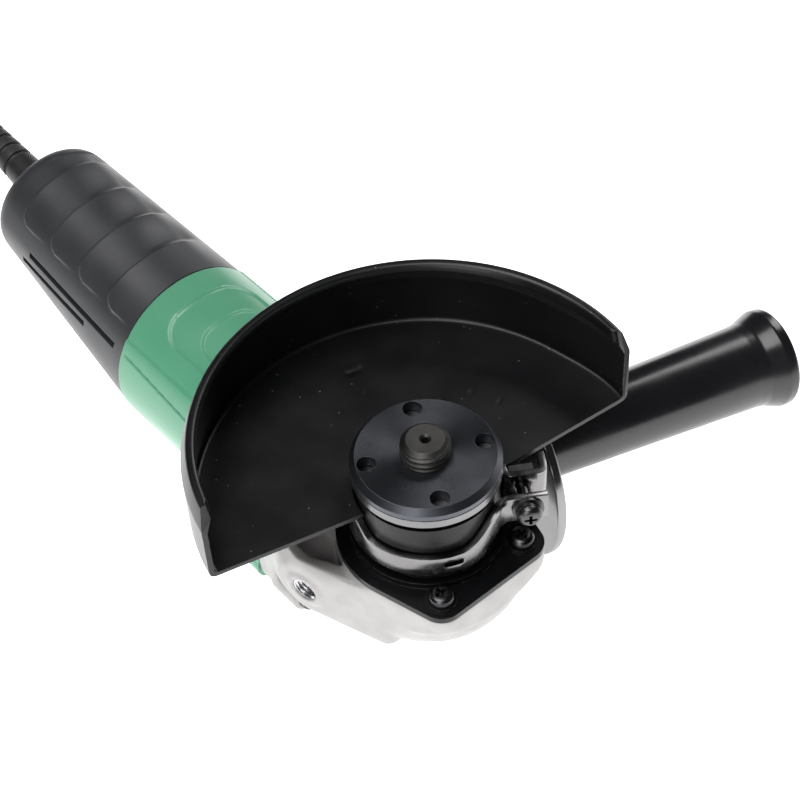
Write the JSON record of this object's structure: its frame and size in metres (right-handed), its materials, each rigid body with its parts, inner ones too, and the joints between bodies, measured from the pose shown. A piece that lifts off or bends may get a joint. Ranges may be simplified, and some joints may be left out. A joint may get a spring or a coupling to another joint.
{
  "type": "angle grinder",
  "caption": "Corded angle grinder with a half-round wheel guard, side handle, spindle with lock nut, motor and bevel gears, and a coiled mains lead.",
  "frame": {"origin": "on the spindle axis, at the outer face of the lock nut", "axes": "+Z out along the spindle (up as the tool lies on its back), +Y towards the tail, +X towards the side handle"},
  "size_m": [0.2349, 0.4635, 0.0849],
  "materials": {
    "gear_case": "fine blasted casting",
    "bearing_cover": "black paint",
    "cover_screws": "blackened steel",
    "case_screws": "blackened steel",
    "spindle_bearing": "machined steel",
    "bearing_retainer": "blackened steel",
    "needle_bush": "brass",
    "motor_housing": "satin green plastic",
    "rear_spider": "black plastic",
    "fan_baffle": "black plastic",
    "stator_core": "stacked laminations",
    "field_coils": "copper",
    "front_bearing": "machined steel",
    "front_bearing_plate": "blackened steel",
    "rear_bearing": "machined steel",
    "rear_bearing_bush": "black rubber",
    "brush_holders": "brass",
    "carbon_brushes": "carbon",
    "brush_springs": "machined steel",
    "tail_cover": "dark plastic",
    "tail_screw": "blackened steel",
    "switch_body": "black plastic",
    "cord_clamp": "black plastic",
    "cord_clamp_screws": "blackened steel",
    "inner_cord": "black rubber",
    "cord_sleeve": "black rubber",
    "cord_run": "black rubber",
    "cord_coil": "black rubber",
    "coil_tie": "black nylon",
    "cord_end": "black rubber",
    "plug_body": "black plastic",
    "plug_pins": "machined steel",
    "lock_spring": "machined steel",
    "spindle": "blackened steel",
    "inner_flange": "machined steel",
    "ring_gear": "machined steel",
    "gear_circlip": "blackened steel",
    "lock_nut": "blackened steel",
    "armature_shaft": "machined steel",
    "armature_core": "stacked laminations",
    "armature_windings": "copper",
    "commutator": "copper",
    "cooling_fan": "black plastic",
    "pinion": "machined steel",
    "pinion_nut": "blackened steel",
    "wheel_guard": "black paint",
    "guard_collar": "black paint",
    "clamp_screw": "blackened steel",
    "clamp_washers": "machined steel",
    "clamp_nut": "blackened steel",
    "lock_button": "black plastic",
    "lock_pin": "machined steel",
    "lock_pin_clip": "blackened steel",
    "switch_knob": "black plastic",
    "switch_rod": "machined steel",
    "switch_plunger": "pale plastic",
    "handle_grip": "black plastic",
    "handle_stud": "machined steel"
  },
  "bodies": {
    "tool": {"gear_case": "gear_case", "bearing_cover": "bearing_cover", "cover_screws": "cover_screws", "case_screws": "case_screws", "spindle_bearing": "spindle_bearing", "bearing_retainer": "bearing_retainer", "needle_bush": "needle_bush", "motor_housing": "motor_housing", "rear_spider": "rear_spider", "fan_baffle": "fan_baffle", "stator_core": "stator_core", "field_coils": "field_coils", "front_bearing": "front_bearing", "front_bearing_plate": "front_bearing_plate", "rear_bearing": "rear_bearing", "rear_bearing_bush": "rear_bearing_bush", "brush_holders": "brush_holders", "carbon_brushes": "carbon_brushes", "brush_springs": "brush_springs", "tail_cover": "tail_cover", "tail_screw": "tail_screw", "switch_body": "switch_body", "cord_clamp": "cord_clamp", "cord_clamp_screws": "cord_clamp_screws", "inner_cord": "inner_cord", "cord_sleeve": "cord_sleeve", "cord_run": "cord_run", "cord_coil": "cord_coil", "coil_tie": "coil_tie", "cord_end": "cord_end", "plug_body": "plug_body", "plug_pins": "plug_pins", "lock_spring": "lock_spring"},
    "spindle": {"spindle": "spindle", "inner_flange": "inner_flange", "ring_gear": "ring_gear", "gear_circlip": "gear_circlip"},
    "lock_nut": {"lock_nut": "lock_nut"},
    "armature": {"armature_shaft": "armature_shaft", "armature_core": "armature_core", "armature_windings": "armature_windings", "commutator": "commutator", "cooling_fan": "cooling_fan", "pinion": "pinion", "pinion_nut": "pinion_nut"},
    "guard": {"wheel_guard": "wheel_guard", "guard_collar": "guard_collar", "clamp_screw": "clamp_screw", "clamp_washers": "clamp_washers", "clamp_nut": "clamp_nut"},
    "lock_button": {"lock_button": "lock_button", "lock_pin": "lock_pin", "lock_pin_clip": "lock_pin_clip"},
    "switch": {"switch_knob": "switch_knob", "switch_rod": "switch_rod", "switch_plunger": "switch_plunger"},
    "side_handle": {"handle_grip": "handle_grip", "handle_stud": "handle_stud"}
  },
  "joints": [
    {"name": "armature_spin", "type": "hinge", "parent": "tool", "child": "armature", "pos_m": [0, 0.06, -0.045], "axis": [0, 1, 0], "continuous": true},
    {"name": "spindle_spin", "type": "hinge", "parent": "tool", "child": "spindle", "pos_m": [0, 0, 0], "axis": [0, 0, 1], "continuous": true},
    {"name": "nut_unscrew", "type": "slide", "parent": "spindle", "child": "lock_nut", "axis": [0, 0, 1], "range_m": [0, 0.025]},
    {"name": "guard_turn", "type": "hinge", "parent": "tool", "child": "guard", "pos_m": [0, 0, -0.02], "axis": [0, 0, 1], "range_deg": [-60, 65]},
    {"name": "lock_button_press", "type": "slide", "parent": "tool", "child": "lock_button", "axis": [0, 0, 1], "range_m": [0, 0.0045], "stiffness_N_per_m": 1200, "springref_m": -0.002, "deforming": ["lock_spring"]},
    {"name": "switch_slide", "type": "slide", "parent": "tool", "child": "switch", "axis": [0, -0.9889, -0.1483], "range_m": [0, 0.007]},
    {"name": "handle_unscrew", "type": "slide", "parent": "tool", "child": "side_handle", "axis": [0.9672, -0.2501, -0.0454], "range_m": [0, 0.03]}
  ],
  "couplings": [
    {"joint": "spindle_spin", "follows": "armature_spin", "ratio": -0.2973}
  ]
}
